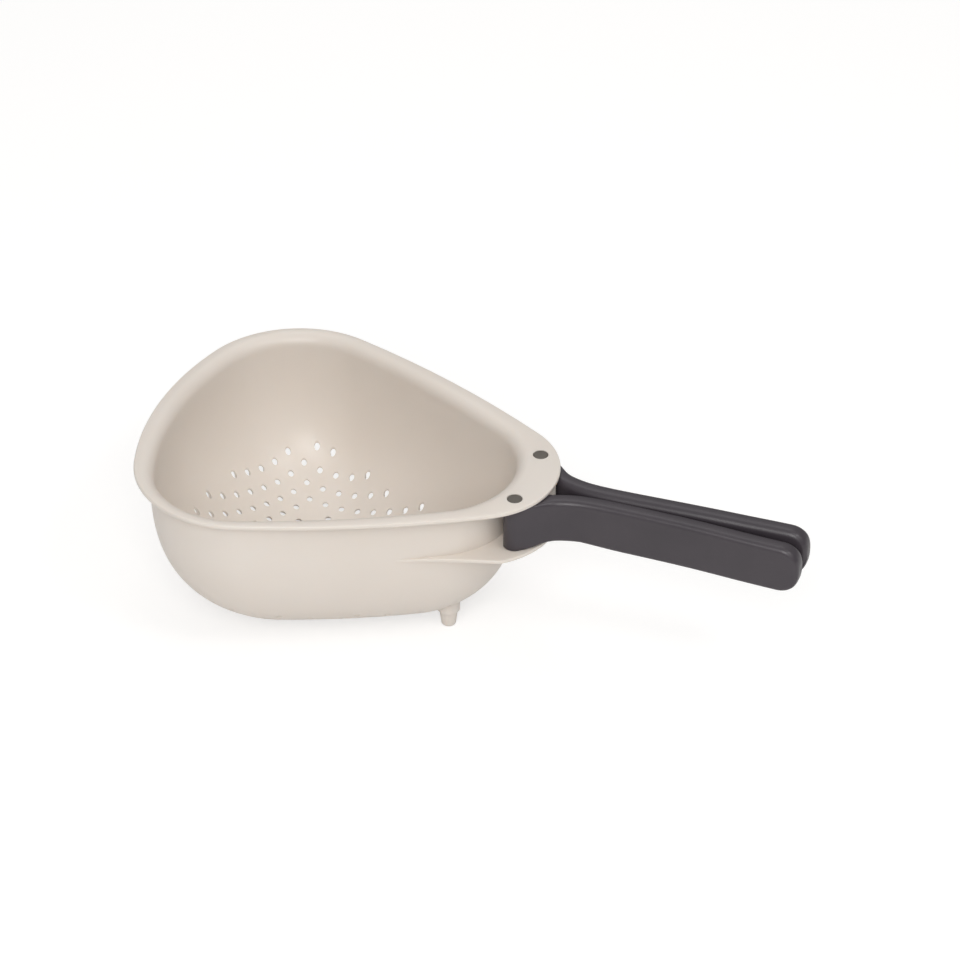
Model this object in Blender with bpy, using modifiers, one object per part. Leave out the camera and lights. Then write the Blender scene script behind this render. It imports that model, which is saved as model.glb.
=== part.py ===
"""Colander with a split folding handle: one moulded bowl, two grip halves, two pivot pins.

Metres, +Z up. X runs along the mirror plane towards the grip, the feet stand on Z = 0,
and the origin is under the middle of the whole length.
"""
import math

import bmesh
import bpy
from mathutils import Matrix, Vector

for old in list(bpy.data.objects):
    bpy.data.objects.remove(old, do_unlink=True)

# Rim outline: tangent arcs from the wide end, round one side, to the nose
rim_end_radius = 0.1982
rim_corner_radius = 0.0668
rim_side_radius = 0.6534
rim_turn_shares = (0.1042, 0.4900, 0.0744)
wall_turn_shares = (0.1091, 0.4948, 0.0611)
arc_steps = (3, 9, 2, 8)

# Bowl moulding
flange_width = 0.0122
shell_thickness = 0.0028
bowl_depth = 0.1066
rim_fillet = 0.0077
floor_share = 0.263
wall_power = 2.12
nose_power = 3.80
end_power = 3.26
side_power = 3.35
draft_shift = -0.0010
middle_share = 0.542
bowl_rings = 11
fillet_steps = 3

# Drain holes: hexagonal lattice with its rows along X
hole_pitch = 0.01089
hole_diameter = 0.0036
hole_margin = 0.0129
hole_start = 0.0799
hole_sides = 6

# Feet, part of the moulding
foot_height = 0.0039
foot_tip_diameter = 0.0088
foot_root_diameter = 0.0109
foot_taper = 0.0082
foot_rounding = 0.0015
foot_flare_diameter = 0.0142
foot_flare_height = 0.0036
nose_foot_setback = 0.0347
nose_foot_spread = 0.0346
end_foot_setback = 0.0682
end_foot_spread = 0.0950

# Pivots at the nose
pin_setback = 0.0180
pin_spread = 0.0482
pin_head_diameter = 0.0089
pin_shaft_diameter = 0.0064
pin_end_thickness = 0.0014
pin_chamfer = 0.0005
run_clearance = 0.0003
barrel_radius = 0.0068
post_width = 0.0084
post_setback = 0.0026
shelf_thickness = 0.0025
shelf_arc_share = 0.312
shelf_root_setback = 0.0470
shelf_root_spread = 0.1164
shelf_sag = 0.0010

# Grip halves
grip_length = 0.1735
grip_height = 0.0314
grip_thickness = 0.0115
grip_gap = 0.0004
grip_flare = 0.0032
grip_waist = 0.0017
grip_droop = 0.0017
outer_edge_radius = 0.0038
inner_edge_radius = 0.0048
lower_edge_radius = 0.0030
barrel_edge_radius = 0.0008
tip_top_radius = 0.0118
tip_low_radius = 0.0131
tip_plan_radius = 0.0030
corner_steps = 3
tip_steps = 6
# Stations along one half, as shares: of the grip length, of the sideways pull from the
# neck out to the pin, of the flare towards the tip, of the waist under the neck, of the
# change from barrel to full grip section, and of the droop towards the tip
grip_station_shares = (
    (0.0000, 1.000, 0.000, 0.00, 0.00, 0.00),
    (0.0460, 0.708, 0.000, 0.50, 0.20, 0.00),
    (0.0700, 0.545, 0.000, 0.90, 0.50, 0.00),
    (0.0920, 0.390, 0.000, 1.00, 0.80, 0.00),
    (0.1260, 0.247, 0.000, 1.00, 1.00, 0.00),
    (0.1660, 0.121, 0.000, 1.00, 1.00, 0.00),
    (0.2120, 0.038, 0.000, 1.00, 1.00, 0.00),
    (0.2520, 0.011, 0.000, 0.60, 1.00, 0.00),
    (0.2930, 0.000, 0.000, 0.28, 1.00, 0.00),
    (0.3800, 0.000, 0.020, 0.00, 1.00, 0.00),
    (0.4650, 0.000, 0.135, 0.00, 1.00, 0.00),
    (0.5500, 0.000, 0.243, 0.00, 1.00, 0.03),
    (0.6360, 0.000, 0.378, 0.00, 1.00, 0.14),
    (0.7800, 0.000, 0.700, 0.00, 1.00, 0.54),
    (0.8700, 0.000, 0.850, 0.00, 1.00, 0.72),
)

round_sides = 24
foot_sides = 12
cut_overrun = 0.0040

parts = bpy.data.collections.new("Colander")
guides = bpy.data.collections.new("Cutters")
bpy.context.scene.collection.children.link(parts)
bpy.context.scene.collection.children.link(guides)


def material(name, colour, roughness, metallic):
    made = bpy.data.materials.new(name)
    made.use_nodes = True
    shader = made.node_tree.nodes["Principled BSDF"]
    shader.inputs["Base Color"].default_value = (*colour, 1)
    shader.inputs["Roughness"].default_value = roughness
    shader.inputs["Metallic"].default_value = metallic
    made.diffuse_color = (*colour, 1)
    return made


def add_object(name, mesh, place, collection, look=None):
    made = bpy.data.objects.new(name, mesh)
    made.location = place
    collection.objects.link(made)
    if look:
        mesh.materials.append(look)
    if collection == guides:
        made.hide_render = True
        made.display_type = "WIRE"
    return made


def mesh_from(work, name):
    mesh = bpy.data.meshes.new(name)
    work.to_mesh(mesh)
    work.free()
    return mesh


def cut(target, cutter, operation="DIFFERENCE"):
    step = target.modifiers.new(cutter.name, "BOOLEAN")
    step.operation = operation
    step.solver = "EXACT"
    step.object = cutter


def arc_chain(radii, shares, start):
    """Points of a closed outline, mirrored across the X axis, from its wide end."""
    shares = (*shares, 1 - sum(shares))
    turn = math.pi / 2
    rises = []
    for share in shares:
        rises.append(math.cos(turn - share * math.pi) - math.cos(turn))
        turn -= share * math.pi
    nose = -sum(radius * rise for radius, rise in zip(radii, rises)) / rises[-1]
    points = [Vector((start, 0))]
    turn = math.pi / 2
    for radius, share, steps in zip((*radii, nose), shares, arc_steps):
        base = points[-1]
        for step in range(1, steps + 1):
            at = turn - share * math.pi * step / steps
            points.append(base + radius * Vector((math.sin(turn) - math.sin(at),
                                                  math.cos(at) - math.cos(turn))))
        turn -= share * math.pi
    points[-1].y = 0
    mirrored = [Vector((point.x, -point.y)) for point in reversed(points[1:-1])]
    return points + mirrored, nose


rim_radii = (rim_end_radius, rim_corner_radius, rim_side_radius)
rim_outline, rim_nose_radius = arc_chain(rim_radii, rim_turn_shares, 0)
rim_length = max(point.x for point in rim_outline)


def wall_line(spread):
    """The wall's outline in plan, moved out from its inner face by spread."""
    inset = flange_width - spread
    radii = [radius - inset for radius in rim_radii]
    return arc_chain(radii, wall_turn_shares, inset)


wall_outline, wall_nose_radius = wall_line(0)
wall_length = max(point.x for point in wall_outline)
bowl_middle = flange_width + (wall_length - flange_width) * middle_share
rim_top = bowl_depth + foot_height
inner_depth = bowl_depth - shell_thickness
overall_length = rim_length - pin_setback + grip_length
pin_x = rim_length - pin_setback
pin_y = pin_spread / 2
bowl_place = Vector((-overall_length / 2, 0, rim_top))
shelf_top = -(shell_thickness + run_clearance + grip_height + run_clearance)
shelf_low = shelf_top - shelf_thickness


def section(outline, depth, full_depth):
    """One level ring of the bowl: the outline drawn in as the wall turns into the floor."""
    share = depth / full_depth

    def drawn(power):
        return floor_share + (1 - floor_share) * (1 - share ** power) ** (1 / wall_power)

    ring = []
    for point in outline:
        reach = point.x - bowl_middle
        along = reach * drawn(nose_power if reach > 0 else end_power)
        ring.append(Vector((bowl_middle + along + draft_shift * share,
                            point.y * drawn(side_power), -depth)))
    return ring


def bowl_levels(full_depth, first):
    """Depths that step evenly round the turn from wall to floor."""
    for step in range(bowl_rings + 1):
        share = 1 - (1 - step / bowl_rings) ** wall_power
        yield first + (full_depth - first) * min(share, 1)


def bridge(work, rings):
    """Quads between each ring and the next, which has as many points."""
    loops = [[work.verts.new(point) for point in ring] for ring in rings]
    for upper, lower in zip(loops, loops[1:]):
        for index in range(len(upper)):
            after = (index + 1) % len(upper)
            work.faces.new((upper[index], upper[after], lower[after], lower[index]))
    return loops


# Bowl skin: rim edge, flat flange, fillet, wall and floor in one open surface
skin_rings = [[Vector((point.x, point.y, 0)) for point in rim_outline]]
for step in range(fillet_steps):
    angle = math.pi / 2 * step / fillet_steps
    spread = rim_fillet * (1 - math.sin(angle))
    drop = rim_fillet * (1 - math.cos(angle))
    skin_rings.append(section(wall_line(spread)[0], drop, inner_depth))
for level in bowl_levels(inner_depth, rim_fillet):
    skin_rings.append(section(wall_outline, level, inner_depth))
work = bmesh.new()
loops = bridge(work, skin_rings)
work.faces.new(loops[-1])
bmesh.ops.recalc_face_normals(work, faces=work.faces)
if sum(face.normal.z for face in work.faces) < 0:
    bmesh.ops.reverse_faces(work, faces=work.faces)
plastic = material("pale_plastic", (0.62, 0.58, 0.54), 0.38, 0)
bowl = add_object("bowl", mesh_from(work, "bowl"), bowl_place, parts, plastic)
shell = bowl.modifiers.new("Wall", "SOLIDIFY")
shell.thickness = shell_thickness
shell.offset = -1
shell.use_even_offset = True

# Middle of the wall, closed at the top: it trims what grows out of the wall
core_depth = inner_depth + shell_thickness / 2
core_outline = wall_line(shell_thickness / 2)[0]
core_fillet = rim_fillet - shell_thickness / 2
core_rings = [[Vector((point.x, point.y, cut_overrun)) for point in wall_line(rim_fillet)[0]]]
for step in range(fillet_steps):
    angle = math.pi / 2 * step / fillet_steps
    spread = rim_fillet - core_fillet * math.sin(angle)
    drop = rim_fillet - core_fillet * math.cos(angle)
    core_rings.append(section(wall_line(spread)[0], drop, core_depth))
core_rings += [section(core_outline, level, core_depth)
               for level in bowl_levels(core_depth, rim_fillet)]
work = bmesh.new()
loops = bridge(work, core_rings)
work.faces.new(loops[0])
work.faces.new(loops[-1])
bmesh.ops.recalc_face_normals(work, faces=work.faces)
core = add_object("wall_core", mesh_from(work, "wall_core"), bowl_place, guides)


def prism(name, outline, low, high):
    """A flat outline with an upright thickness, as a closed mesh in the cutters."""
    curve = bpy.data.curves.new(name, "CURVE")
    curve.dimensions = "2D"
    curve.fill_mode = "BOTH"
    curve.extrude = (high - low) / 2
    line = curve.splines.new("POLY")
    line.points.add(len(outline) - 1)
    for point, place in zip(line.points, outline):
        point.co = (place[0], place[1], 0, 1)
    line.use_cyclic_u = True
    holder = bpy.data.objects.new(name + "_curve", curve)
    guides.objects.link(holder)
    holder.location = bowl_place + Vector((0, 0, (high + low) / 2))
    bpy.context.view_layer.update()
    drawn = holder.evaluated_get(bpy.context.evaluated_depsgraph_get())
    mesh = bpy.data.meshes.new_from_object(drawn)
    work = bmesh.new()
    work.from_mesh(mesh)
    bmesh.ops.remove_doubles(work, verts=work.verts, dist=run_clearance / 100)
    bmesh.ops.recalc_face_normals(work, faces=work.faces)
    work.to_mesh(mesh)
    work.free()
    made = add_object(name, mesh, (0, 0, 0), guides)
    made.matrix_world = holder.matrix_world.copy()
    bpy.data.objects.remove(holder, do_unlink=True)
    return made


# Shelf under the barrels: the nose's own arc, then a run back that dies into the wall
nose_x = rim_length - rim_nose_radius
wall_nose_x = wall_length - wall_nose_radius
shelf_line = []
shelf_arc = shelf_arc_share * math.pi
for step in range(-arc_steps[-1], arc_steps[-1] + 1):
    angle = shelf_arc * step / arc_steps[-1]
    shelf_line.append((nose_x + rim_nose_radius * math.cos(angle),
                       rim_nose_radius * math.sin(angle)))
arc_end = Vector(shelf_line[-1])
shelf_root = Vector((wall_length - shelf_root_setback, shelf_root_spread / 2))
across_run = (shelf_root - arc_end).normalized().orthogonal() * shelf_sag
run = []
for step in range(1, fillet_steps + 2):
    share = step / (fillet_steps + 1)
    run.append(arc_end.lerp(shelf_root, share) + across_run * 4 * share * (1 - share))
shelf_line += [(point.x, point.y) for point in run]
shelf_line.append((wall_nose_x, 0))
shelf_line += [(point.x, -point.y) for point in reversed(run)]
shelf = prism("shelf", shelf_line, shelf_low, shelf_top)

# Post between flange and shelf, round at its front
post_half = post_width / 2
post_front = rim_length - post_setback - post_half
post_line = [(wall_length - barrel_radius, -post_half)]
for step in range(-arc_steps[0], arc_steps[0] + 1):
    angle = math.pi / 2 * step / arc_steps[0]
    post_line.append((post_front + post_half * math.cos(angle), post_half * math.sin(angle)))
post_line.append((wall_length - barrel_radius, post_half))
post = prism("post", post_line, shelf_top - shelf_thickness / 2, -shell_thickness * 3 / 4)


def turned(name, profile, place, collection, sides, look=None):
    """A profile of (radius, height) points, top to bottom, turned about Z."""
    work = bmesh.new()
    corners = [work.verts.new((radius, 0, height)) for radius, height in profile]
    for first, second in zip(corners, corners[1:]):
        work.edges.new((first, second))
    made = add_object(name, mesh_from(work, name), place, collection, look)
    screw = made.modifiers.new("Turn", "SCREW")
    screw.steps = sides
    screw.render_steps = sides
    screw.use_merge_vertices = True
    screw.merge_threshold = run_clearance / 100
    return made


# Feet: round pegs with a rounded tip, tapering out and then flaring into the bowl
foot_root = foot_root_diameter / 2
foot_tip = foot_tip_diameter / 2
foot_reach = foot_height + bowl_depth / 2
foot_flare = foot_flare_diameter / 2
foot_profile = [(0, foot_reach), (foot_flare, foot_reach)]
for step in range(fillet_steps, -1, -1):
    angle = math.pi / 2 * step / fillet_steps
    foot_profile.append((foot_root + (foot_flare - foot_root) * (1 - math.cos(angle)),
                         foot_taper + foot_flare_height * math.sin(angle)))
for step in range(fillet_steps):
    angle = math.pi / 2 * step / (fillet_steps - 1)
    foot_profile.append((foot_tip - foot_rounding * (1 - math.cos(angle)),
                         foot_rounding * (1 - math.sin(angle))))
foot_profile.append((0, 0))
foot_places = []
for along, spread in ((wall_length - nose_foot_setback, nose_foot_spread),
                      (flange_width + end_foot_setback, end_foot_spread)):
    for side in (-1, 1):
        foot_places.append(Vector((along, side * spread / 2)))
grown = [shelf, post]
for number, (along, across) in enumerate(foot_places):
    place = bowl_place + Vector((along, across, -rim_top))
    grown.append(turned(f"foot_{number}", foot_profile, place, guides, foot_sides))

for piece in grown:
    cut(piece, core)
    cut(bowl, piece, "UNION")


def inset(point, outline):
    """How far a point lies inside an outline, negative where it is outside."""
    inside = False
    nearest = rim_length
    for first, second in zip(outline, outline[1:] + outline[:1]):
        run = second - first
        share = min(max((point - first).dot(run) / run.length_squared, 0), 1)
        nearest = min(nearest, (point - first - run * share).length)
        if (first.y > point.y) != (second.y > point.y):
            if point.x < first.x + run.x * (point.y - first.y) / run.y:
                inside = not inside
    return nearest if inside else -nearest


# Drain holes: one cutter of upright pegs; a seat over a foot stays solid
row_pitch = hole_pitch * math.sin(math.pi / 3)
half_width = max(point.y for point in wall_outline)
rows = math.ceil(half_width / row_pitch)
columns = math.ceil(wall_length / hole_pitch)
work = bmesh.new()
hole_top = -inner_depth / 3
hole_low = -bowl_depth - cut_overrun
hole_count = 0
for row in range(-rows, rows + 1):
    shift = hole_pitch / 2 if row % 2 == 0 else 0
    for column in range(-columns, columns + 1):
        spot = Vector((hole_start + shift + hole_pitch * column, row_pitch * row))
        if inset(spot, wall_outline) < hole_margin:
            continue
        if min((spot - foot).length for foot in foot_places) < foot_root + hole_diameter / 2:
            continue
        place = Matrix.Translation((spot.x, spot.y, (hole_top + hole_low) / 2))
        bmesh.ops.create_cone(work, cap_ends=True, segments=hole_sides,
                              radius1=hole_diameter / 2, radius2=hole_diameter / 2,
                              depth=hole_top - hole_low, matrix=place)
        hole_count += 1
holes = add_object("drain_holes", mesh_from(work, "drain_holes"), bowl_place, guides)
cut(bowl, holes)
print("drain holes", hole_count)


def rod(name, radius, low, high, places):
    """Upright round cutters at the given places."""
    work = bmesh.new()
    for along, across in places:
        place = Matrix.Translation((along, across, (low + high) / 2))
        bmesh.ops.create_cone(work, cap_ends=True, segments=round_sides, radius1=radius,
                              radius2=radius, depth=high - low, matrix=place)
    return mesh_from(work, name)


# Pin seats: the head in the flange, the shaft through the shelf
head_radius = pin_head_diameter / 2
shaft_radius = pin_shaft_diameter / 2
pin_places = [(pin_x, -pin_y), (pin_x, pin_y)]
head_seat = rod("head_seats", head_radius + run_clearance,
                -shell_thickness - cut_overrun, cut_overrun, pin_places)
shaft_seat = rod("shaft_seats", shaft_radius + run_clearance,
                 shelf_low - cut_overrun, shelf_top + cut_overrun, pin_places)
cut(bowl, add_object("head_seats", head_seat, bowl_place, guides))
cut(bowl, add_object("shaft_seats", shaft_seat, bowl_place, guides))

# Pins: flush head, long shaft, formed lower end
end_top = shelf_low - run_clearance
end_low = end_top - pin_end_thickness
pin_profile = [(0, 0), (head_radius - pin_chamfer, 0), (head_radius, -pin_chamfer),
               (head_radius, -shell_thickness), (shaft_radius, -shell_thickness),
               (shaft_radius, end_top), (head_radius, end_top),
               (head_radius, end_low + pin_chamfer), (head_radius - pin_chamfer, end_low),
               (0, end_low)]
pin_plastic = material("pin_grey", (0.14, 0.135, 0.12), 0.42, 0)
for name, side in (("pivot_pin_front", -1), ("pivot_pin_back", 1)):
    place = bowl_place + Vector((pin_x, side * pin_y, 0))
    turned(name, pin_profile, place, parts, round_sides, pin_plastic)

# Grip halves: a tall rounded band swept from the barrel to the tip
neck_y = (grip_thickness + grip_gap) / 2
grip_top = -(shell_thickness + run_clearance)
grip_low = grip_top - grip_height


def grip_line(share):
    """Centre of one half at a share of its length, with its waist, section and droop shares."""
    table = grip_station_shares
    for first, second in zip(table, table[1:]):
        if share <= second[0]:
            part = (share - first[0]) / (second[0] - first[0])
            values = [a + (b - a) * part for a, b in zip(first, second)]
            break
    else:
        last = table[-1]
        part = (share - last[0]) / (1 - last[0])
        values = [share, 0, last[2] + (1 - last[2]) * part, 0, 1, last[5] + (1 - last[5]) * part]
    across = neck_y + (pin_y - neck_y) * values[1] + grip_flare * values[2]
    return Vector((grip_length * share, across)), values[3], values[4], values[5]


def rounded_drop(radius, distance):
    """How far a rounded corner has fallen back at a distance from its end."""
    if distance >= radius:
        return 0
    return radius - math.sqrt(radius ** 2 - (radius - distance) ** 2)


def band_section(centre, outward, half, low, high, radii):
    """An upright rounded rectangle: corners are inner low, outer low, outer top, inner top."""
    limit = min(half, (high - low) / 2) * 0.96
    radii = [min(radius, limit) for radius in radii]
    corners = ((-1, low, 1), (1, low, 1), (1, high, -1), (-1, high, -1))
    ring = []
    for number, ((side, level, lift), radius) in enumerate(zip(corners, radii)):
        for step in range(corner_steps + 1):
            angle = math.pi / 2 * (step / corner_steps + number + 2)
            offset = side * (half - radius) + radius * math.cos(angle)
            height = level + lift * radius + radius * math.sin(angle)
            spot = centre + outward * offset
            ring.append(Vector((spot.x, spot.y, height)))
    return ring


def grip_mesh(name, side):
    """One half about its pin axis; side mirrors it across the handle's middle plane."""
    full_radii = (lower_edge_radius, lower_edge_radius, outer_edge_radius, inner_edge_radius)
    start = grip_line(0)[0]
    heading = (grip_line(grip_station_shares[1][0])[0] - start).normalized()
    outward = Vector((-heading.y, heading.x))
    rings = []
    for step in range(corner_steps, 0, -1):
        angle = math.pi / 2 * step / (corner_steps + 0.4)
        centre = start - heading * barrel_radius * math.sin(angle)
        rings.append(band_section(centre, outward, barrel_radius * math.cos(angle), grip_low,
                                  grip_top, [barrel_edge_radius] * 4))
    stations = [row[0] for row in grip_station_shares]
    tip_reach = max(tip_top_radius, tip_low_radius) / grip_length
    tip_shares = [1 - tip_reach * (1 - math.sin(math.pi / 2 * step / tip_steps))
                  for step in range(tip_steps + 1)]
    stations = [share for share in stations if share < tip_shares[0]] + tip_shares
    for number, share in enumerate(stations):
        centre, waist, blend, droop = grip_line(share)
        ahead = grip_line(min(share + 0.02, 1))[0]
        behind = grip_line(max(share - 0.02, 0))[0]
        heading = (ahead - behind).normalized()
        outward = Vector((-heading.y, heading.x))
        left = grip_length * (1 - share)
        half = barrel_radius + (grip_thickness / 2 - barrel_radius) * blend
        half -= rounded_drop(tip_plan_radius, left)
        low = grip_low + grip_waist * waist + rounded_drop(tip_low_radius, left)
        low -= grip_droop * droop
        high = grip_top - rounded_drop(tip_top_radius, left) - grip_droop * droop
        radii = [barrel_edge_radius + (full - barrel_edge_radius) * blend for full in full_radii]
        rings.append(band_section(centre, outward, half, low, high, radii))
    shift = Vector((0, pin_y, grip_low + grip_height / 2))
    rings = [[Vector((point.x, (point.y - shift.y) * side, point.z - shift.z))
              for point in ring] for ring in rings]
    work = bmesh.new()
    loops = bridge(work, rings)
    work.faces.new(loops[0])
    work.faces.new(loops[-1])
    bmesh.ops.recalc_face_normals(work, faces=work.faces)
    return mesh_from(work, name)


grey = material("grip_grey", (0.075, 0.068, 0.075), 0.55, 0)
grip_middle = grip_low + grip_height / 2
bore = rod("grip_bores", shaft_radius + run_clearance, grip_low - cut_overrun,
           grip_top + cut_overrun, pin_places)
bore = add_object("grip_bores", bore, bowl_place, guides)
for name, side in (("grip_front", -1), ("grip_back", 1)):
    place = bowl_place + Vector((pin_x, side * pin_y, grip_middle))
    grip = add_object(name, grip_mesh(name, side), place, parts, grey)
    cut(grip, bore)

bpy.context.view_layer.update()
for piece in parts.objects:
    if not piece.data.polygons:
        continue
    piece.data.shade_smooth()
    piece.data.set_sharp_from_angle(angle=math.radians(35))
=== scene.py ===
import math
import bmesh
import bpy
from mathutils import Matrix, Vector


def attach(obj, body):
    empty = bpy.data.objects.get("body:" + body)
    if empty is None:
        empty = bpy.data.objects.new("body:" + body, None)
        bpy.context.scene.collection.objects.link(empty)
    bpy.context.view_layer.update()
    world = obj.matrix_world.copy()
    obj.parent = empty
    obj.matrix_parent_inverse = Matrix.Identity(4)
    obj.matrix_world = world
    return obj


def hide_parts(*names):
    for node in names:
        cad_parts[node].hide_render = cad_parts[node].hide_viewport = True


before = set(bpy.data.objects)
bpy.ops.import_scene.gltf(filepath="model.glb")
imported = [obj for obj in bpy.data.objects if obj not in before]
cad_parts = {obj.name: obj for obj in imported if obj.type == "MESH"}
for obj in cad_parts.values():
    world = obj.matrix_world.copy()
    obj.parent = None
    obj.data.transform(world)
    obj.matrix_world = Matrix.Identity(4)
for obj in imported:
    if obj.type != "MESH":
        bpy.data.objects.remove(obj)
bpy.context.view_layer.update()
tiny = 0.000002     # slack when points are picked by their place
weldGap = 0.000005  # points closer than this become one
cutPast = 0.001     # how far a cutter runs past the face it cuts
speck = 0.001       # a first plane or circle whose points are moved or deleted at once
levelFace = 0.9     # a normal at least this upright belongs to a level face


# Small helpers for edit mode: pick by place, then run the operator

def dropSelection():
    if bpy.context.object and bpy.context.object.mode == "EDIT":
        bpy.ops.object.mode_set(mode="OBJECT")
    bpy.ops.object.select_all(action="DESELECT")


def choose(piece):
    dropSelection()
    piece.select_set(True)
    bpy.context.view_layer.objects.active = piece


def openPiece(piece):
    choose(piece)
    bpy.ops.object.mode_set(mode="EDIT")
    bpy.ops.mesh.select_mode(type="VERT")
    bpy.ops.mesh.select_all(action="DESELECT")


def closePiece():
    bpy.ops.object.mode_set(mode="OBJECT")


def pickPoints(test):
    shape = bmesh.from_edit_mesh(bpy.context.object.data)
    for point in shape.verts:
        point.select = test(point.co)
    shape.select_mode = {"VERT"}
    shape.select_flush_mode()
    bmesh.update_edit_mesh(bpy.context.object.data)


def pickAmong(kind, test):
    bpy.ops.mesh.select_mode(type=kind)
    shape = bmesh.from_edit_mesh(bpy.context.object.data)
    shape.normal_update()
    elements = shape.edges if kind == "EDGE" else shape.faces
    chosen = [element for element in elements if test(element)]
    for element in elements:
        element.select = False
    for element in chosen:
        element.select = True
    shape.select_flush_mode()
    bmesh.update_edit_mesh(bpy.context.object.data)
    return len(chosen)


def pickEdges(test):
    return pickAmong("EDGE", test)


def pickFaces(test):
    return pickAmong("FACE", test)


def slide(x, y, z):
    bpy.ops.transform.translate(value=(x, y, z))


def stretch(x, y, z, centre):
    bpy.ops.transform.resize(value=(x, y, z), center_override=centre)


def useTool(piece, kind, **settings):  # one modifier, applied at once
    choose(piece)
    tool = piece.modifiers.new(kind.title(), kind)
    for name, value in settings.items():
        setattr(tool, name, value)
    bpy.ops.object.modifier_apply(modifier=tool.name)


def joinOrCut(piece, other, operation):
    useTool(piece, "BOOLEAN", operation=operation, solver="EXACT", object=other)


def copyPiece(piece, name):
    dropSelection()
    made = piece.copy()
    made.data = piece.data.copy()
    made.name = name
    bpy.context.scene.collection.objects.link(made)
    return made


def faceOutward(piece):
    openPiece(piece)
    bpy.ops.mesh.select_all(action="SELECT")
    bpy.ops.mesh.remove_doubles(threshold=weldGap)
    bpy.ops.mesh.normals_make_consistent(inside=False)
    closePiece()


def smoothPiece(piece, degrees):
    choose(piece)
    bpy.ops.object.shade_smooth_by_angle(angle=math.radians(degrees))


def bakePlace(piece):
    choose(piece)
    bpy.ops.object.transform_apply(location=True, rotation=True, scale=True)


def throwAway(*pieces):
    dropSelection()
    for piece in pieces:
        bpy.data.objects.remove(piece, do_unlink=True)


# Bowl

bowlPlan = {
    "radii": (0.1982, 0.0668, 0.6534),           # wide end, corner, side; the nose follows
    "rimTurns": (0.1042, 0.4900, 0.0744),        # shares of a half turn
    "wallTurns": (0.1091, 0.4948, 0.0611),
    "arcSteps": (14, 38, 8, 34),
    "flange": 0.0122,
    "wall": 0.0028,
    "depth": 0.1066,
    "fillet": 0.0077,
    "filletSteps": 8,
    "firstRing": 0.0012,                         # below the fillet
    "floorShare": 0.263,
    "wallPower": 2.12,
    "nosePower": 3.80,
    "endPower": 3.26,
    "sidePower": 3.35,
    "draft": -0.0010,
    "middleShare": 0.542,
    "rings": 44,
    "rimRound": 0.0009,
    "rimSteps": 4,
    "sharpTurn": 32,                             # degrees, as for pins and grips
    "footHeight": 0.0039,
    "gripLength": 0.1735,
    "pinSetback": 0.0180,
}


def arcEnds(radii, turns):  # centres and end points of a chain of tangent arcs
    turns = (*turns, 1 - sum(turns))
    heading = math.pi / 2
    rises = []
    for turn in turns:
        rises.append(math.cos(heading - turn * math.pi) - math.cos(heading))
        heading -= turn * math.pi
    nose = -sum(radius * rise for radius, rise in zip(radii, rises)) / rises[-1]
    return (*radii, nose), turns


def chainLength(radii, turns):
    allRadii, turns = arcEnds(radii, turns)
    heading = math.pi / 2
    along = 0
    for radius, turn in zip(allRadii, turns):
        after = heading - turn * math.pi
        along += radius * (math.sin(heading) - math.sin(after))
        heading = after
    return along, allRadii[-1]


def inward(radii, amount):
    return tuple(radius - amount for radius in radii)


rimLength, rimNose = chainLength(bowlPlan["radii"], bowlPlan["rimTurns"])
wallLength, wallNose = chainLength(inward(bowlPlan["radii"], bowlPlan["flange"]), bowlPlan["wallTurns"])
wallLength += bowlPlan["flange"]
backX = -(rimLength - bowlPlan["pinSetback"] + bowlPlan["gripLength"]) / 2
rimTop = bowlPlan["depth"] + bowlPlan["footHeight"]
innerDepth = bowlPlan["depth"] - bowlPlan["wall"]
noseX = backX + wallLength
middleX = backX + bowlPlan["flange"] + (wallLength - bowlPlan["flange"]) * bowlPlan["middleShare"]
pinX = backX + rimLength - bowlPlan["pinSetback"]


def startPoint(x, y, z):  # a single point in the open mesh
    bpy.ops.mesh.select_all(action="DESELECT")
    bpy.ops.mesh.primitive_plane_add(size=speck, location=(x, y, z))
    bpy.ops.mesh.merge(type="CENTER")


def drawChain(radii, turns, x, z, steps):
    startPoint(x, 0, z)
    heading = math.pi / 2
    place = Vector((x, 0))
    allRadii, turns = arcEnds(radii, turns)
    for radius, turn, count in zip(allRadii, turns, steps):
        centre = place + radius * Vector((math.sin(heading), -math.cos(heading)))
        bpy.ops.mesh.spin(steps=count, angle=turn * math.pi, center=(centre.x, centre.y, z),
                          axis=(0, 0, 1))
        heading -= turn * math.pi
        place = centre - radius * Vector((math.sin(heading), -math.cos(heading)))
        pickPoints(lambda co: math.dist(co, (place.x, place.y, z)) < tiny)
    return place


def newPiece(name):
    dropSelection()
    bpy.ops.mesh.primitive_plane_add(size=speck, location=(0, 0, 0))
    piece = bpy.context.object
    piece.name = name
    openPiece(piece)
    bpy.ops.mesh.select_all(action="SELECT")
    bpy.ops.mesh.delete(type="VERT")
    return piece


def drawnIn(share, power):
    floor = bowlPlan["floorShare"]
    return floor + (1 - floor) * (1 - share ** power) ** (1 / bowlPlan["wallPower"])


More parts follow.
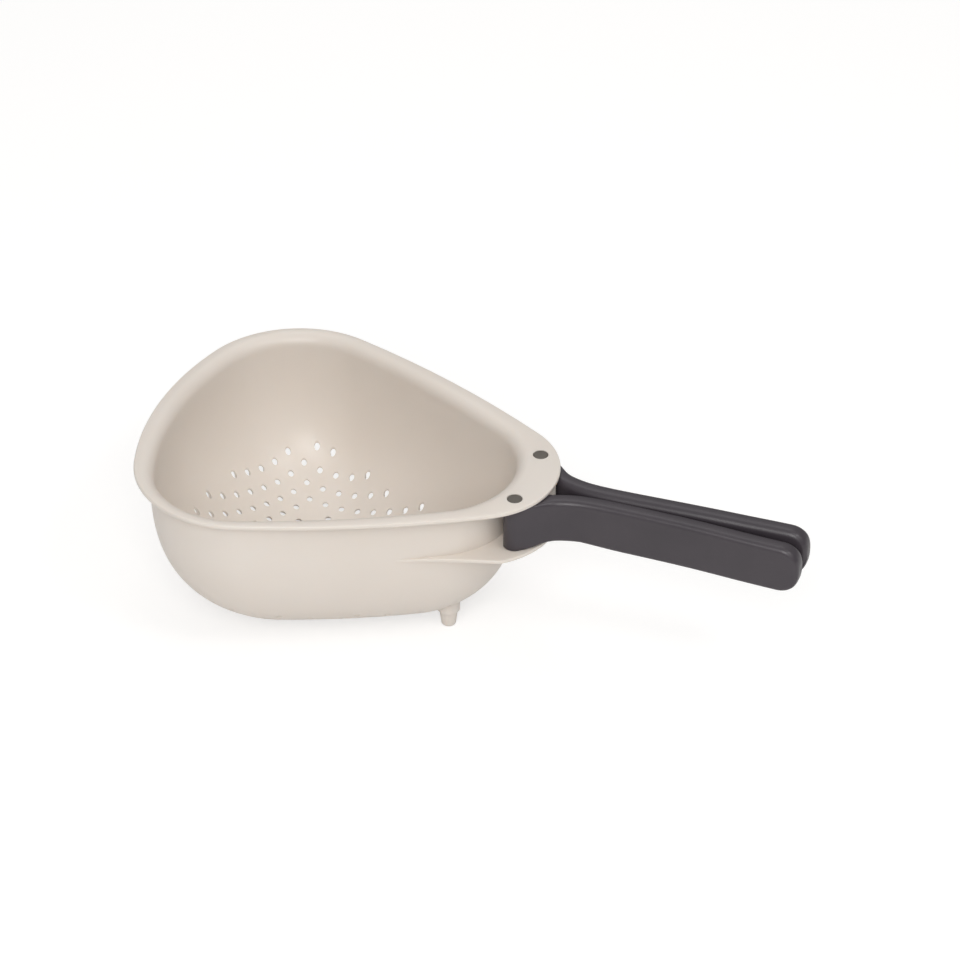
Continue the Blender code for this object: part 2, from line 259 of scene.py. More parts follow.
def makeSkin():
    skin = newPiece("bowl_moulding")
    drawChain(bowlPlan["radii"], bowlPlan["rimTurns"], backX, rimTop, bowlPlan["arcSteps"])
    end = drawChain(inward(bowlPlan["radii"], bowlPlan["flange"]), bowlPlan["wallTurns"],
                    backX + bowlPlan["flange"], rimTop, bowlPlan["arcSteps"])
    print("wall chain ends at", round(end.x, 5), round(end.y, 6), "nose at", round(noseX, 5))
    bpy.ops.mesh.select_all(action="SELECT")
    bpy.ops.mesh.bridge_edge_loops()
    # pick the wall chain again: it is the one inside the rim
    shape = bmesh.from_edit_mesh(skin.data)
    shape.verts.ensure_lookup_table()
    firstCount = sum(bowlPlan["arcSteps"]) + 1
    for point in shape.verts:
        point.select = point.index >= firstCount
    shape.select_flush_mode()
    bmesh.update_edit_mesh(skin.data)
    first = (bowlPlan["fillet"] + bowlPlan["firstRing"]) / innerDepth
    shares = [first + (1 - first) * (1 - (1 - step / bowlPlan["rings"]) ** bowlPlan["wallPower"])
              for step in range(bowlPlan["rings"] + 1)]
    before = 0
    for share in shares:
        share = min(share, 1)
        bpy.ops.mesh.extrude_region_move(
            TRANSFORM_OT_translate={"value": (0, 0, -(share - before) * innerDepth)})
        level = rimTop - share * innerDepth
        ratio = drawnIn(share, bowlPlan["sidePower"]) / drawnIn(before, bowlPlan["sidePower"])
        stretch(1, ratio, 1, (0, 0, 0))
        centre = middleX + bowlPlan["draft"] * before
        for side, power in ((1, bowlPlan["nosePower"]), (-1, bowlPlan["endPower"])):
            pickPoints(lambda co: abs(co.z - level) < tiny and (co.x - centre) * side > 0)
            ratio = drawnIn(share, power) / drawnIn(before, power)
            stretch(ratio, 1, 1, (centre, 0, 0))
        pickPoints(lambda co: abs(co.z - level) < tiny)
        slide(bowlPlan["draft"] * (share - before), 0, 0)
        before = share
    bpy.ops.mesh.extrude_region_move(TRANSFORM_OT_translate={"value": (0, 0, 0)})
    stretch(1, 0, 1, (0, 0, 0))
    bpy.ops.mesh.select_all(action="SELECT")
    bpy.ops.mesh.remove_doubles(threshold=weldGap)
    # round the turn from flange to wall
    count = pickEdges(lambda edge: len(edge.link_faces) == 2
                      and all(abs(point.co.z - rimTop) < tiny for point in edge.verts)
                      and min(abs(face.normal.z) for face in edge.link_faces) < levelFace)
    print("fillet edges", count)
    bpy.ops.mesh.bevel(offset=bowlPlan["fillet"], offset_type="OFFSET", segments=bowlPlan["filletSteps"],
                       profile=0.5, affect="EDGES", clamp_overlap=False)
    closePiece()
    useTool(skin, "MIRROR", use_axis=(False, True, False), use_clip=True, merge_threshold=2 * weldGap)
    faceOutward(skin)
    if sum(face.normal.z * face.area for face in skin.data.polygons) < 0:
        openPiece(skin)
        bpy.ops.mesh.select_all(action="SELECT")
        bpy.ops.mesh.flip_normals()
        closePiece()
    return skin


bowl = makeSkin()
print("bowl skin", len(bowl.data.polygons))

# The middle of the wall, closed at the top, trims what grows out of the bowl
core = copyPiece(bowl, "wall_core")
openPiece(core)
pickFaces(lambda face: face.calc_center_median().z > rimTop - tiny)
bpy.ops.mesh.delete(type="FACE")
bpy.ops.mesh.select_all(action="SELECT")
bpy.ops.transform.shrink_fatten(value=-bowlPlan["wall"] / 2)
bpy.ops.mesh.select_all(action="DESELECT")
bpy.ops.mesh.select_mode(type="EDGE")
bpy.ops.mesh.select_non_manifold()
bpy.ops.mesh.extrude_region_move(TRANSFORM_OT_translate={"value": (0, 0, bowlPlan["fillet"])})
bpy.ops.mesh.edge_face_add()
closePiece()
faceOutward(core)

useTool(bowl, "SOLIDIFY", thickness=bowlPlan["wall"], offset=-1, use_even_offset=True)
openPiece(bowl)


def onRimEdge(edge):
    if len(edge.link_faces) != 2:
        return False
    first, second = (face.normal for face in edge.link_faces)
    atRim = edge.verts[0].co.z > rimTop - bowlPlan["wall"] * 1.5
    return atRim and abs(abs(first.z) - abs(second.z)) > levelFace


print("rim edges", pickEdges(onRimEdge))
bpy.ops.mesh.bevel(offset=bowlPlan["rimRound"], segments=bowlPlan["rimSteps"], profile=0.5,
                   affect="EDGES")
closePiece()
print("bowl shell", len(bowl.data.polygons))

shelfPlan = {
    "gripTopGap": 0.0031,    # flange thickness and the running gap
    "gripHeight": 0.0314,
    "gap": 0.0003,
    "thickness": 0.0025,
    "arcShare": 0.298,       # of a half turn, each side of the nose
    "arcSteps": 56,
    "rootSetback": 0.0514,
    "rootSpread": 0.1227,
    "sag": 0.0011,
    "runSteps": 10,
    "postWidth": 0.0126,
    "postSetback": 0.0005,
    "barrel": 0.0068,
    "postSteps": 12,
    "edgeRound": 0.0005,
    "edgeSteps": 3,
}
shelfTop = rimTop - shelfPlan["gripTopGap"] - shelfPlan["gripHeight"] - shelfPlan["gap"]


def makeShelf():
    shelf = newPiece("shelf")
    turn = shelfPlan["arcShare"] * math.pi
    centre = backX + rimLength - rimNose
    startPoint(centre + rimNose * math.cos(turn), -rimNose * math.sin(turn), shelfTop)
    bpy.ops.mesh.spin(steps=shelfPlan["arcSteps"], angle=2 * turn, center=(centre, 0, shelfTop),
                      axis=(0, 0, -1))
    corner = Vector((centre + rimNose * math.cos(turn), rimNose * math.sin(turn)))
    root = Vector((noseX - shelfPlan["rootSetback"], shelfPlan["rootSpread"] / 2))
    drawIn = (root - corner).normalized().orthogonal() * shelfPlan["sag"]
    run = []
    for step in range(1, shelfPlan["runSteps"] + 1):
        share = step / shelfPlan["runSteps"]
        run.append(corner.lerp(root, share) + drawIn * 4 * share * (1 - share))
    mirrored = [Vector((spot.x, -spot.y)) for spot in reversed(run)]
    for goal in (*run, Vector((noseX - wallNose, 0)), *mirrored):
        step = goal - corner
        bpy.ops.mesh.extrude_region_move(TRANSFORM_OT_translate={"value": (step.x, step.y, 0)})
        corner = goal
    bpy.ops.mesh.select_all(action="SELECT")
    bpy.ops.mesh.edge_face_add()
    bpy.ops.mesh.extrude_region_move(
        TRANSFORM_OT_translate={"value": (0, 0, -shelfPlan["thickness"])})
    closePiece()
    faceOutward(shelf)
    openPiece(shelf)
    pickEdges(lambda edge: abs(edge.verts[0].co.z - edge.verts[1].co.z) < tiny
              and min(point.co.x for point in edge.verts) > root.x - tiny)
    bpy.ops.mesh.bevel(offset=shelfPlan["edgeRound"], segments=shelfPlan["edgeSteps"], profile=0.5,
                       affect="EDGES")
    closePiece()
    return shelf


def makePost():
    low = shelfTop - shelfPlan["thickness"] / 2
    high = rimTop - bowlPlan["wall"] * 3 / 4
    start = noseX - shelfPlan["barrel"]
    end = backX + rimLength - shelfPlan["postSetback"]
    dropSelection()
    bpy.ops.mesh.primitive_cube_add(size=1, location=((start + end) / 2, 0, (low + high) / 2),
                                    scale=(end - start, shelfPlan["postWidth"], high - low))
    post = bpy.context.object
    post.name = "post"
    bakePlace(post)
    openPiece(post)
    pickEdges(lambda edge: all(point.co.x > end - tiny for point in edge.verts)
              and abs(edge.verts[0].co.y - edge.verts[1].co.y) < tiny)
    almostHalf = shelfPlan["postWidth"] * 0.499  # the two rounds may not meet
    bpy.ops.mesh.bevel(offset=almostHalf, segments=shelfPlan["postSteps"], profile=0.5, affect="EDGES")
    closePiece()
    faceOutward(post)
    return post


feetPlan = {
    "tip": 0.0088,
    "root": 0.0109,
    "taper": 0.0082,
    "round": 0.0015,
    "flare": 0.0142,
    "flareHeight": 0.0036,
    "noseSetback": 0.0347,
    "noseSpread": 0.0346,
    "endSetback": 0.0682,
    "endSpread": 0.0950,
    "sides": 40,
    "flareSteps": 8,
    "roundSteps": 6,
}
feetPlaces = [Vector((x, side * spread / 2)) for x, spread in (
    (noseX - feetPlan["noseSetback"], feetPlan["noseSpread"]),
    (backX + bowlPlan["flange"] + feetPlan["endSetback"], feetPlan["endSpread"])) for side in (-1, 1)]


def makeFoot(place):
    dropSelection()
    bpy.ops.mesh.primitive_cone_add(vertices=feetPlan["sides"], radius1=feetPlan["tip"] / 2,
                                    radius2=feetPlan["root"] / 2, depth=feetPlan["taper"],
                                    location=(place.x, place.y, feetPlan["taper"] / 2))
    foot = bpy.context.object
    foot.name = "foot"
    bakePlace(foot)
    openPiece(foot)
    pickFaces(lambda face: face.normal.z > levelFace)
    wide, high = feetPlan["root"], 0
    for step in range(1, feetPlan["flareSteps"] + 1):
        angle = math.pi / 2 * step / feetPlan["flareSteps"]
        rise = feetPlan["flareHeight"] * math.sin(angle)
        width = feetPlan["root"] + (feetPlan["flare"] - feetPlan["root"]) * (1 - math.cos(angle))
        bpy.ops.mesh.extrude_region_move(TRANSFORM_OT_translate={"value": (0, 0, rise - high)})
        stretch(width / wide, width / wide, 1, (place.x, place.y, 0))
        wide, high = width, rise
    bpy.ops.mesh.extrude_region_move(
        TRANSFORM_OT_translate={"value": (0, 0, bowlPlan["depth"] / 2 - feetPlan["taper"] - high)})
    pickEdges(lambda edge: all(point.co.z < tiny for point in edge.verts))
    bpy.ops.mesh.bevel(offset=feetPlan["round"], segments=feetPlan["roundSteps"], profile=0.5,
                       affect="EDGES")
    closePiece()
    return foot


for extra in (makeShelf(), makePost(), *[makeFoot(place) for place in feetPlaces]):
    joinOrCut(extra, core, "DIFFERENCE")
    joinOrCut(bowl, extra, "UNION")
    throwAway(extra)
throwAway(core)
print("bowl with shelf, post and feet", len(bowl.data.polygons))

holesPlan = {
    "pitch": 0.01089,
    "diameter": 0.0036,
    "margin": 0.0129,
    "start": 0.0799,
    "sides": 24,
    "flare": 0.0058,
    "flareFrom": 0.0008,
    "flarePast": 0.0003,
    "lookDownFrom": 0.01,    # above the rim, where the rays to the wall start
    "plainTurn": 0.12,       # no flare where the wall turns further to the front
    "outlineSteps": 24,
    "rows": (-12, 13),       # lattice rows and seats that are tried
    "seats": (-10, 22),
}


def wallPoints():
    points = []
    heading = math.pi / 2
    place = Vector((backX + bowlPlan["flange"], 0))
    allRadii, turns = arcEnds(inward(bowlPlan["radii"], bowlPlan["flange"]), bowlPlan["wallTurns"])
    for radius, turn in zip(allRadii, turns):
        for step in range(holesPlan["outlineSteps"]):
            at = heading - turn * math.pi * step / holesPlan["outlineSteps"]
            points.append(place + radius * Vector((math.sin(heading) - math.sin(at),
                                                   math.cos(at) - math.cos(heading))))
        after = heading - turn * math.pi
        place = place + radius * Vector((math.sin(heading) - math.sin(after),
                                         math.cos(after) - math.cos(heading)))
        heading = after
    points.append(Vector((noseX, 0)))
    return points


def insetFromWall(spot, outline):  # distance to the wall line, negative outside it
    spot = Vector((spot.x, abs(spot.y)))
    nearest = math.inf
    inside = False
    for first, second in zip(outline, outline[1:]):
        run = second - first
        share = min(max((spot - first).dot(run) / run.length_squared, 0), 1)
        nearest = min(nearest, (spot - first - run * share).length)
        if (first.x > spot.x) != (second.x > spot.x):
            if spot.y < first.y + run.y * (spot.x - first.x) / run.x:
                inside = not inside
    return nearest if inside else -nearest


def holeSpots():
    outline = wallPoints()
    pitch = holesPlan["pitch"]
    row = pitch * math.sin(math.pi / 3)
    spots = []
    footRoom = (feetPlan["root"] + holesPlan["diameter"]) / 2
    for line in range(*holesPlan["rows"]):
        shift = pitch / 2 if line % 2 == 0 else 0
        for step in range(*holesPlan["seats"]):
            spot = Vector((backX + holesPlan["start"] + shift + pitch * step, row * line))
            if insetFromWall(spot, outline) < holesPlan["margin"]:
                continue
            if min((spot - foot).length for foot in feetPlaces) < footRoom:
                continue
            spots.append(spot)
    return spots


def rods(name, places, radius, low, high, sides):  # upright round cutters
    cutter = newPiece(name)
    for place in places:
        bpy.ops.mesh.primitive_cylinder_add(vertices=sides, radius=radius, depth=high - low,
                                            location=(place.x, place.y, (low + high) / 2))
    closePiece()
    return cutter


def flares(name, spots):  # each hole widens towards the outside, square to the wall
    cutter = newPiece(name)
    inside = holesPlan["diameter"] / 2
    length = bowlPlan["wall"] + holesPlan["flarePast"] - holesPlan["flareFrom"]
    rest = bowlPlan["wall"] - holesPlan["flareFrom"]
    slope = (holesPlan["flare"] - holesPlan["diameter"]) / 2 / rest
    outside = inside + slope * length
    for spot in spots:
        above = Vector((spot.x, spot.y, rimTop + holesPlan["lookDownFrom"]))
        point, normal = bowl.ray_cast(above, Vector((0, 0, -1)))[1:3]
        if normal.y > holesPlan["plainTurn"]:
            continue
        middle = point - normal * (holesPlan["flareFrom"] + length / 2)
        bpy.ops.mesh.primitive_cone_add(vertices=holesPlan["sides"], radius1=outside, radius2=inside,
                                        depth=length, location=middle,
                                        rotation=normal.to_track_quat("Z", "Y").to_euler())
    closePiece()
    return cutter


spots = holeSpots()
sink = flares("sink", spots)
drill = rods("drill", spots, holesPlan["diameter"] / 2, bowlPlan["footHeight"] - 2 * cutPast,
             rimTop - innerDepth / 3, holesPlan["sides"])
for cutter in (drill, sink):
    joinOrCut(bowl, cutter, "DIFFERENCE")
    throwAway(cutter)
print("drain holes", len(spots))

pinPlan = {
    "spread": 0.0482,
    "head": 0.0089,
    "shaft": 0.0064,
    "endThickness": 0.0014,
    "chamfer": 0.0005,
    "chamferSteps": 4,
    "gap": 0.0003,
    "headSides": 64,
    "shaftSides": 48,
    "sharpTurn": 40,
}
pinPlaces = [Vector((pinX, side * pinPlan["spread"] / 2)) for side in (-1, 1)]
headSeat = rods("head_seat", pinPlaces, pinPlan["head"] / 2 + pinPlan["gap"],
                rimTop - bowlPlan["wall"] - cutPast, rimTop + cutPast, pinPlan["headSides"])
joinOrCut(bowl, headSeat, "DIFFERENCE")
shaftSeat = rods("shaft_seat", pinPlaces, pinPlan["shaft"] / 2 + pinPlan["gap"],
                 shelfTop - shelfPlan["thickness"] - cutPast, shelfTop + cutPast, pinPlan["shaftSides"])
joinOrCut(bowl, shaftSeat, "DIFFERENCE")
throwAway(headSeat, shaftSeat)
smoothPiece(bowl, bowlPlan["sharpTurn"])
print("bowl done", len(bowl.data.polygons))

# Pivot pins: flush head, long shaft, formed lower end


def makePin(name, place):
    low = shelfTop - shelfPlan["thickness"] - pinPlan["gap"]
    dropSelection()
    bpy.ops.mesh.primitive_cylinder_add(vertices=pinPlan["headSides"], radius=pinPlan["head"] / 2,
                                        depth=bowlPlan["wall"],
                                        location=(place.x, place.y, rimTop - bowlPlan["wall"] / 2))
    pin = bpy.context.object
    pin.name = name
    bakePlace(pin)
    openPiece(pin)
    pickFaces(lambda face: face.normal.z < -levelFace)
    bpy.ops.mesh.inset(thickness=(pinPlan["head"] - pinPlan["shaft"]) / 2)
    depth = rimTop - bowlPlan["wall"] - low
    bpy.ops.mesh.extrude_region_move(TRANSFORM_OT_translate={"value": (0, 0, -depth)})
    bpy.ops.mesh.extrude_region_move(TRANSFORM_OT_translate={"value": (0, 0, 0)})
    grow = pinPlan["head"] / pinPlan["shaft"]
    stretch(grow, grow, 1, (place.x, place.y, low))
    bpy.ops.mesh.extrude_region_move(
        TRANSFORM_OT_translate={"value": (0, 0, -pinPlan["endThickness"])})
    pickEdges(lambda edge: all(abs(point.co.z - rimTop) < tiny for point in edge.verts)
              or all(point.co.z < low - pinPlan["endThickness"] + tiny for point in edge.verts))
    bpy.ops.mesh.bevel(offset=pinPlan["chamfer"], segments=pinPlan["chamferSteps"], profile=0.5,
                       affect="EDGES")
    closePiece()
    smoothPiece(pin, pinPlan["sharpTurn"])
    return pin


pins = [makePin(name, place) for name, place in zip(("pin_front", "pin_back"), pinPlaces)]
print("pins done")

# Grip halves: rounded sections are set along the grip's path and joined station to station

gripPlan = {
    "thickness": 0.0115,
    "split": 0.0004,
    "flare": 0.0032,
    "waist": 0.0017,
    "droop": 0.0017,
    "outerRound": 0.0038,
    "innerRound": 0.0048,
    "lowerRound": 0.0030,
    "barrelRound": 0.0008,
    "tipTop": 0.0118,
    "tipLow": 0.0131,
    "tipPlan": 0.0030,
    "barrelSteps": 8,
    "barrelReach": 8.15,     # steps to a quarter turn: the last section stays open
    "tipSteps": 14,
    "cornerSteps": 6,
    "lookAhead": 0.015,      # share of the length used to find the heading
    "roundLimit": 0.97,      # share of the half section a rounding may take
    "sharpTurn": 40,
}
# shares: length, pull out to the pin, flare, waist, change from barrel to grip, droop
gripStations = (
    (0.0000, 1.000, 0.000, 0.00, 0.00, 0.00),
    (0.0230, 0.860, 0.000, 0.20, 0.08, 0.00),
    (0.0460, 0.708, 0.000, 0.50, 0.20, 0.00),
    (0.0700, 0.545, 0.000, 0.90, 0.50, 0.00),
    (0.0920, 0.400, 0.000, 1.00, 0.80, 0.00),
    (0.1100, 0.310, 0.000, 1.00, 0.95, 0.00),
    (0.1260, 0.242, 0.000, 1.00, 1.00, 0.00),
    (0.1460, 0.175, 0.000, 1.00, 1.00, 0.00),
    (0.1660, 0.121, 0.000, 1.00, 1.00, 0.00),
    (0.1900, 0.072, 0.000, 1.00, 1.00, 0.00),
    (0.2120, 0.040, 0.000, 1.00, 1.00, 0.00),
    (0.2520, 0.011, 0.000, 0.60, 1.00, 0.00),
    (0.2930, 0.000, 0.000, 0.28, 1.00, 0.00),
    (0.3350, 0.000, 0.006, 0.08, 1.00, 0.00),
    (0.3800, 0.000, 0.030, 0.00, 1.00, 0.00),
    (0.4650, 0.000, 0.125, 0.00, 1.00, 0.00),
    (0.5500, 0.000, 0.240, 0.00, 1.00, 0.03),
    (0.6360, 0.000, 0.380, 0.00, 1.00, 0.14),
    (0.7100, 0.000, 0.530, 0.00, 1.00, 0.33),
    (0.7800, 0.000, 0.680, 0.00, 1.00, 0.54),
    (0.8700, 0.000, 0.850, 0.00, 1.00, 0.72),
)
gripTop = rimTop - shelfPlan["gripTopGap"]
gripLow = gripTop - shelfPlan["gripHeight"]
neckY = (gripPlan["thickness"] + gripPlan["split"]) / 2


def gripAt(share):
    for first, second in zip(gripStations, gripStations[1:]):
        if share <= second[0]:
            part = (share - first[0]) / (second[0] - first[0])
            values = [a + (b - a) * part for a, b in zip(first, second)]
            break
    else:
        last = gripStations[-1]
        part = (share - last[0]) / (1 - last[0])
        values = [share, 0, last[2] + (1 - last[2]) * part, 0, 1, last[5] + (1 - last[5]) * part]
    y = neckY + (pinPlan["spread"] / 2 - neckY) * values[1] + gripPlan["flare"] * values[2]
    return Vector((bowlPlan["gripLength"] * share, y)), values[3], values[4], values[5]


def fallBack(radius, distance):  # how far a round end has dropped at this distance from its tip
    if distance >= radius:
        return 0
    return radius - math.sqrt(radius ** 2 - (radius - distance) ** 2)


def gripSections():  # centre, heading, half thickness, low, high, fullness of the rounding
    barrel = shelfPlan["barrel"]
    rows = []
    start = gripAt(0)[0]
    ahead = gripPlan["lookAhead"]
    heading = (gripAt(2 * ahead)[0] - start).normalized()
    for step in range(gripPlan["barrelSteps"], 0, -1):
        angle = math.pi / 2 * step / gripPlan["barrelReach"]
        rows.append((start - heading * barrel * math.sin(angle), heading, barrel * math.cos(angle),
                     gripLow, gripTop, 0))
    reach = max(gripPlan["tipTop"], gripPlan["tipLow"]) / bowlPlan["gripLength"]
    tip = [1 - reach * (1 - math.sin(math.pi / 2 * step / gripPlan["tipSteps"]))
           for step in range(gripPlan["tipSteps"] + 1)]
    shares = [row[0] for row in gripStations if row[0] < tip[0]] + tip
    for share in shares:
        centre, waist, blend, droop = gripAt(share)
        heading = (gripAt(min(share + ahead, 1))[0] - gripAt(max(share - ahead, 0))[0]).normalized()
        left = bowlPlan["gripLength"] * (1 - share)
        half = barrel + (gripPlan["thickness"] / 2 - barrel) * blend
        half -= fallBack(gripPlan["tipPlan"], left)
        low = gripLow + gripPlan["waist"] * waist + fallBack(gripPlan["tipLow"], left)
        high = gripTop - fallBack(gripPlan["tipTop"], left)
        low -= gripPlan["droop"] * droop
        high -= gripPlan["droop"] * droop
        rows.append((centre, heading, half, low, high, blend))
    return rows


def makeGrip(name, side):
    rows = gripSections()
    origin = Vector((pinX, 0))
    grip = newPiece(name)
    corners = gripPlan["cornerSteps"]
    # one rounded section as a closed loop, then extruded from station to station
    places = []
    for centre, heading, half, low, high, blend in rows:
        out = Vector((-heading.y, heading.x))
        limit = min(half, (high - low) / 2) * gripPlan["roundLimit"]
        rounds = [min(gripPlan["barrelRound"] + (full - gripPlan["barrelRound"]) * blend, limit)
                  for full in (gripPlan["lowerRound"], gripPlan["lowerRound"],
                               gripPlan["outerRound"], gripPlan["innerRound"])]
        ring = []
        turns = ((-1, low, 1), (1, low, 1), (1, high, -1), (-1, high, -1))
        for number, ((sign, level, lift), radius) in enumerate(zip(turns, rounds)):
            for step in range(corners + 1):
                angle = math.pi / 2 * (step / corners + number + 2)
                spot = origin + centre + out * (sign * (half - radius) + radius * math.cos(angle))
                height = level + lift * radius + radius * math.sin(angle)
                ring.append(Vector((spot.x, spot.y * side, height)))
        places.append(ring)
    bpy.ops.mesh.primitive_circle_add(vertices=len(places[0]), radius=speck, fill_type="NGON",
                                      location=(pinX, 0, gripLow))
    shape = bmesh.from_edit_mesh(grip.data)
    shape.verts.ensure_lookup_table()
    loop = list(shape.verts)
    for point, place in zip(loop, places[0]):
        point.co = place
    bmesh.update_edit_mesh(grip.data)
    for ring in places[1:]:
        bpy.ops.mesh.extrude_region_move(TRANSFORM_OT_translate={"value": (0, 0, 0)})
        shape = bmesh.from_edit_mesh(grip.data)
        moved = [point for point in shape.verts if point.select]
        for point, place in zip(moved, ring):
            point.co = place
        bmesh.update_edit_mesh(grip.data)
    closePiece()
    faceOutward(grip)
    return grip


bore = rods("bore", pinPlaces, pinPlan["shaft"] / 2 + pinPlan["gap"],
            gripLow - 2 * cutPast, gripTop + 2 * cutPast, pinPlan["shaftSides"])
grips = []
for name, side in (("grip_half_front", -1), ("grip_half_back", 1)):
    grip = makeGrip(name, side)
    joinOrCut(grip, bore, "DIFFERENCE")
    smoothPiece(grip, gripPlan["sharpTurn"])
    grips.append(grip)
throwAway(bore)
print("grips done", len(grips[0].data.polygons))

# Finishes

finishes = {
    "bowl": {"tone": (0.752, 0.695, 0.637), "deep": (0.727, 0.666, 0.603), "rough": 0.36,
             "grain": 1400, "bump": 0.12, "cloud": 9, "softness": 0.12},
    "grip": {"tone": (0.050, 0.042, 0.050), "deep": (0.040, 0.034, 0.041), "rough": 0.35,
             "grain": 2600, "bump": 0.35, "cloud": 22, "softness": 0},
    "pin": {"tone": (0.110, 0.098, 0.083), "deep": (0.093, 0.083, 0.070), "rough": 0.45,
            "grain": 2600, "bump": 0.25, "cloud": 60, "softness": 0},
}
plastic = {                  # the same for all three
    "toneSpan": (0.25, 0.6),
    "roughSpan": (-0.05, 0.07),
    "grainHeight": 0.00008,
    "index": 1.49,
    "scatter": (0.006, 0.0045, 0.0035),
}


def mouldedPlastic(name, plan):
    finish = bpy.data.materials.new(name)
    finish.use_nodes = True
    nodes = finish.node_tree.nodes
    links = finish.node_tree.links
    shader = nodes["Principled BSDF"]
    place = nodes.new("ShaderNodeTexCoord")
    drift = nodes.new("ShaderNodeTexNoise")  # slow change of tone over the moulding
    drift.inputs["Scale"].default_value = plan["cloud"]
    drift.inputs["Detail"].default_value = 3
    links.new(place.outputs["Object"], drift.inputs["Vector"])
    ramp = nodes.new("ShaderNodeValToRGB")
    for stop, position, tone in zip(ramp.color_ramp.elements, plastic["toneSpan"],
                                    (plan["deep"], plan["tone"])):
        stop.position = position
        stop.color = (*tone, 1)
    links.new(drift.outputs["Fac"], ramp.inputs["Fac"])
    links.new(ramp.outputs["Color"], shader.inputs["Base Color"])
    fine = nodes.new("ShaderNodeTexNoise")  # fine spark texture from the tool
    fine.inputs["Scale"].default_value = plan["grain"]
    fine.inputs["Detail"].default_value = 4
    links.new(place.outputs["Object"], fine.inputs["Vector"])
    span = nodes.new("ShaderNodeMapRange")
    span.inputs["To Min"].default_value = plan["rough"] + plastic["roughSpan"][0]
    span.inputs["To Max"].default_value = plan["rough"] + plastic["roughSpan"][1]
    links.new(fine.outputs["Fac"], span.inputs["Value"])
    links.new(span.outputs["Result"], shader.inputs["Roughness"])
    relief = nodes.new("ShaderNodeBump")
    relief.inputs["Strength"].default_value = plan["bump"]
    relief.inputs["Distance"].default_value = plastic["grainHeight"]
    links.new(fine.outputs["Fac"], relief.inputs["Height"])
    links.new(relief.outputs["Normal"], shader.inputs["Normal"])
    shader.inputs["IOR"].default_value = plastic["index"]
    shader.inputs["Subsurface Weight"].default_value = plan["softness"]
    shader.inputs["Subsurface Radius"].default_value = plastic["scatter"]
    shader.inputs["Subsurface Scale"].default_value = 1.0
    return finish


bowlFinish = mouldedPlastic("paleMouldedPlastic", finishes["bowl"])
gripFinish = mouldedPlastic("softGreyGrip", finishes["grip"])
pinFinish = mouldedPlastic("greyPinPlastic", finishes["pin"])


def giveFinish(piece, finish):
    piece.data.materials.clear()
    piece.data.materials.append(finish)


giveFinish(bowl, bowlFinish)
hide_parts("bowl")
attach(bowl, "bowl_body")
for piece, node, body in zip(grips, ("grip_front", "grip_back"), ("grip_front_body", "grip_back_body")):
    giveFinish(piece, gripFinish)
    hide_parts(node)
    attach(piece, body)
for piece, node in zip(pins, ("pivot_pin_front", "pivot_pin_back")):
    giveFinish(piece, pinFinish)
    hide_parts(node)
    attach(piece, "bowl_body")
print("finishes done")

# Studio: pale floor, soft lamps, camera at the photograph's angle

studio = {
    "floorSize": 12,
    "floorTone": (0.93, 0.925, 0.92),
    "floorSeen": (0.50, 0.494, 0.487),
    "floorGlow": 0.605,
    "floorRough": 0.9,
    "floorShine": 0.1,
    "skyTone": (1.0, 0.995, 0.99),
    "skyLow": 0.18,
    "skyHigh": 0.62,
    "lampAim": (0, 0, 0.05),
    "lampTone": (1, 0.99, 0.98),
    "lamps": (               # name, place, size, power
        ("key_lamp", (1.35, -0.45, 1.85), 0.7, 8),
        ("fill_lamp", (0.35, -1.5, 1.35), 1.0, 17),
        ("top_lamp", (-0.3, 0.75, 1.65), 1.2, 4),
    ),
}
cameraPlan = {
    "azimuth": 19.496,
    "elevation": 35.723,
    "distance": 2.2791,
    "lens": 141.02,
    "sensor": 36,
    "farthest": 50,
    "aside": -0.032447,
    "upward": 0.014812,
    "aimShift": (-0.031343, 0, 0.1105),
}


def splitForCamera(tree, plain, seen, end):  # the camera sees another shader than the light does
    path = tree.nodes.new("ShaderNodeLightPath")
    switch = tree.nodes.new("ShaderNodeMixShader")
    tree.links.new(path.outputs["Is Camera Ray"], switch.inputs["Fac"])
    tree.links.new(plain, switch.inputs[1])
    tree.links.new(seen, switch.inputs[2])
    tree.links.new(switch.outputs["Shader"], end)


dropSelection()
bpy.ops.mesh.primitive_plane_add(size=studio["floorSize"], location=(0, 0, 0))
floor = bpy.context.object
floor.name = "studio_floor"
floorFinish = bpy.data.materials.new("studioFloor")
floorFinish.use_nodes = True
nodes = floorFinish.node_tree.nodes
links = floorFinish.node_tree.links
plain = nodes["Principled BSDF"]
plain.inputs["Base Color"].default_value = (*studio["floorTone"], 1)
plain.inputs["Roughness"].default_value = studio["floorRough"]
plain.inputs["Specular IOR Level"].default_value = studio["floorShine"]
glow = nodes.new("ShaderNodeEmission")
glow.inputs["Strength"].default_value = studio["floorGlow"]
shade = nodes.new("ShaderNodeBsdfDiffuse")
shade.inputs["Color"].default_value = (*studio["floorSeen"], 1)
total = nodes.new("ShaderNodeAddShader")
links.new(shade.outputs["BSDF"], total.inputs[0])
links.new(glow.outputs["Emission"], total.inputs[1])
splitForCamera(floorFinish.node_tree, plain.outputs["BSDF"], total.outputs["Shader"],
               nodes["Material Output"].inputs["Surface"])
floor.data.materials.append(floorFinish)

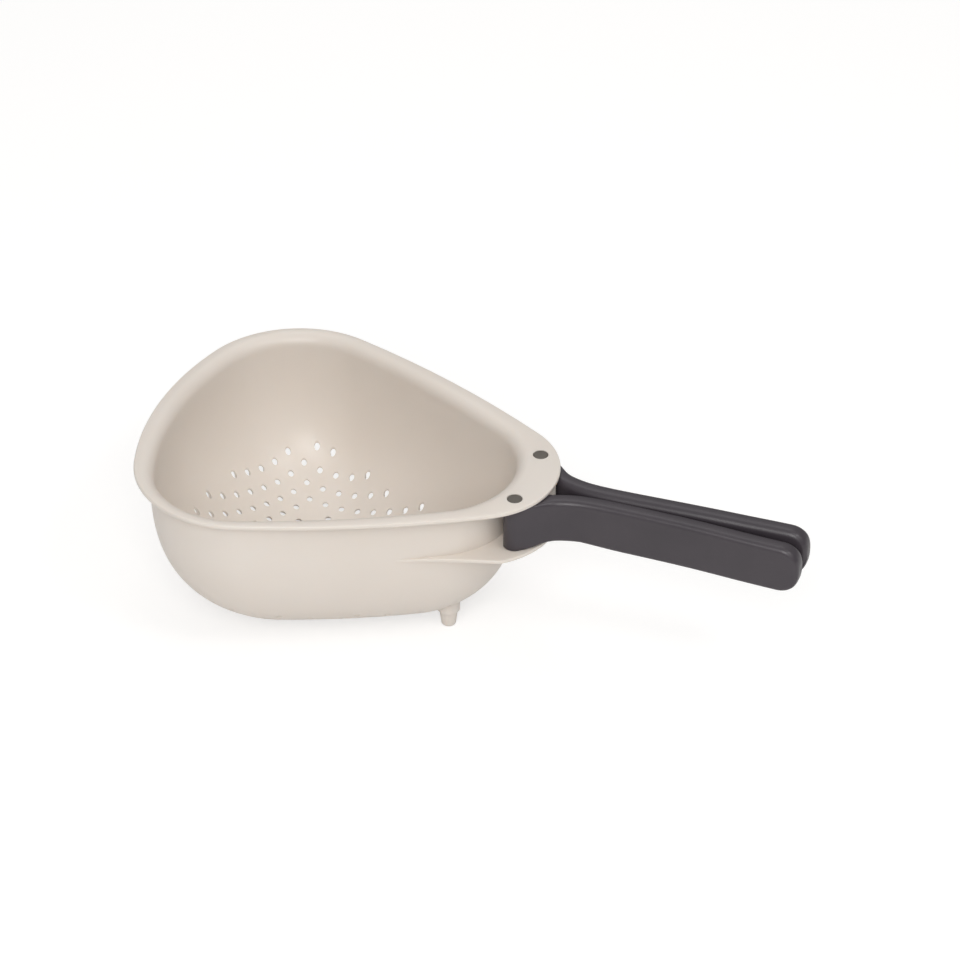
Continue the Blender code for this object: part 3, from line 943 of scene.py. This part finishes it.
world = bpy.data.worlds.new("studioAir")
world.use_nodes = True
bpy.context.scene.world = world
nodes = world.node_tree.nodes
links = world.node_tree.links
air = nodes["Background"]
air.inputs["Color"].default_value = (*studio["skyTone"], 1)
facing = nodes.new("ShaderNodeTexCoord")
height = nodes.new("ShaderNodeSeparateXYZ")
climb = nodes.new("ShaderNodeMapRange")
climb.inputs["To Min"].default_value = studio["skyLow"]
climb.inputs["To Max"].default_value = studio["skyHigh"]
links.new(facing.outputs["Generated"], height.inputs["Vector"])
links.new(height.outputs["Z"], climb.inputs["Value"])
links.new(climb.outputs["Result"], air.inputs["Strength"])
seen = nodes.new("ShaderNodeBackground")
seen.inputs["Strength"].default_value = 1
splitForCamera(world.node_tree, air.outputs["Background"], seen.outputs["Background"],
               nodes["World Output"].inputs["Surface"])


def softLamp(name, place, size, power):
    dropSelection()
    bpy.ops.object.light_add(type="AREA", location=place)
    lamp = bpy.context.object
    lamp.name = name
    lamp.data.shape = "DISK"
    lamp.data.size = size
    lamp.data.energy = power
    lamp.data.color = studio["lampTone"]
    towards = Vector(studio["lampAim"]) - Vector(place)
    lamp.rotation_euler = towards.to_track_quat("-Z", "Y").to_euler()


for lampPlan in studio["lamps"]:
    softLamp(*lampPlan)

turn = math.radians(-cameraPlan["azimuth"])
rise = math.radians(cameraPlan["elevation"])
right = Vector((math.cos(turn), -math.sin(turn), 0))
upward = Vector((math.sin(turn) * math.sin(rise), math.cos(turn) * math.sin(rise), math.cos(rise)))
forward = Vector((math.sin(turn) * math.cos(rise), math.cos(turn) * math.cos(rise), -math.sin(rise)))
place = Vector(cameraPlan["aimShift"]) - (right * cameraPlan["aside"] + upward * cameraPlan["upward"]
                                         + forward * cameraPlan["distance"])
dropSelection()
bpy.ops.object.camera_add(location=place)
camera = bpy.context.object
camera.name = "photo_camera"
camera.data.lens = cameraPlan["lens"]
camera.data.sensor_width = cameraPlan["sensor"]
camera.data.clip_end = cameraPlan["farthest"]
camera.matrix_world = Matrix.Translation(place) @ Matrix((right, upward, -forward)).transposed().to_4x4()
bpy.context.scene.camera = camera
bpy.context.scene.view_settings.view_transform = "Standard"
dropSelection()
print("studio done")
